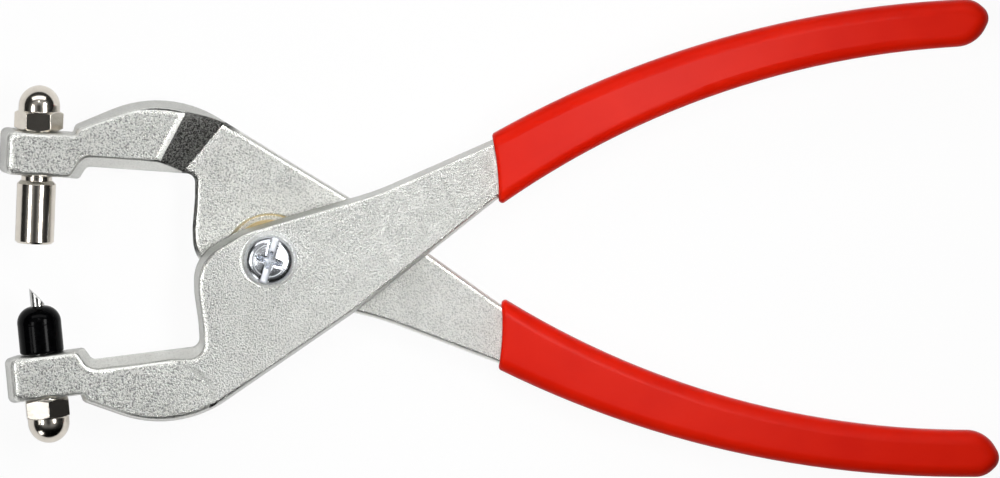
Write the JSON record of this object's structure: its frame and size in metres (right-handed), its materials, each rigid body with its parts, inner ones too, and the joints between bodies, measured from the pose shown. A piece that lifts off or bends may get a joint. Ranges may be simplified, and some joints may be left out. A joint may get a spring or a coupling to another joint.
{
  "type": "hole punch pliers",
  "caption": "Hole punch pliers: two lapped cast levers on a pivot screw, an upper die, a lower punch in a rubber sleeve, and dipped grips.",
  "frame": {"origin": "on the pivot axis, at the back end of the pivot screw, where the pliers rest on their back", "axes": "+X from the pivot to the handles along the line that halves them, +Y to the side of the front lever's handle, +Z out of the front through the screw's head"},
  "size_m": [0.2381, 0.1154, 0.0209],
  "materials": {
    "zinc_casting": "bright zinc plate over a fine cast grain",
    "red_grip": "dipped soft vinyl with a satin sheen",
    "screw_zinc": "bright bluish zinc plate",
    "yellow_washer": "yellow passivated",
    "nylon": "natural nylon",
    "tool_steel": "ground tool steel",
    "black_rubber": "smooth moulded rubber, semi-gloss",
    "nickel": "polished nickel plate"
  },
  "bodies": {
    "front": {"front_lever": "zinc_casting", "front_grip": "red_grip", "pivot_screw": "screw_zinc", "pivot_washer": "yellow_washer", "pivot_nut": "screw_zinc", "pivot_nut_insert": "nylon", "punch_holder": "tool_steel", "punch_pin": "tool_steel", "stripper_sleeve": "black_rubber", "punch_cap_nut": "nickel"},
    "rear": {"rear_lever": "zinc_casting", "rear_grip": "red_grip", "die": "nickel", "die_cap_nut": "nickel"}
  },
  "joints": [
    {"name": "pivot", "type": "hinge", "parent": "front", "child": "rear", "pos_m": [0, 0, 0.01155], "axis": [0, 0, 1], "range_deg": [-75, 14.8]}
  ]
}
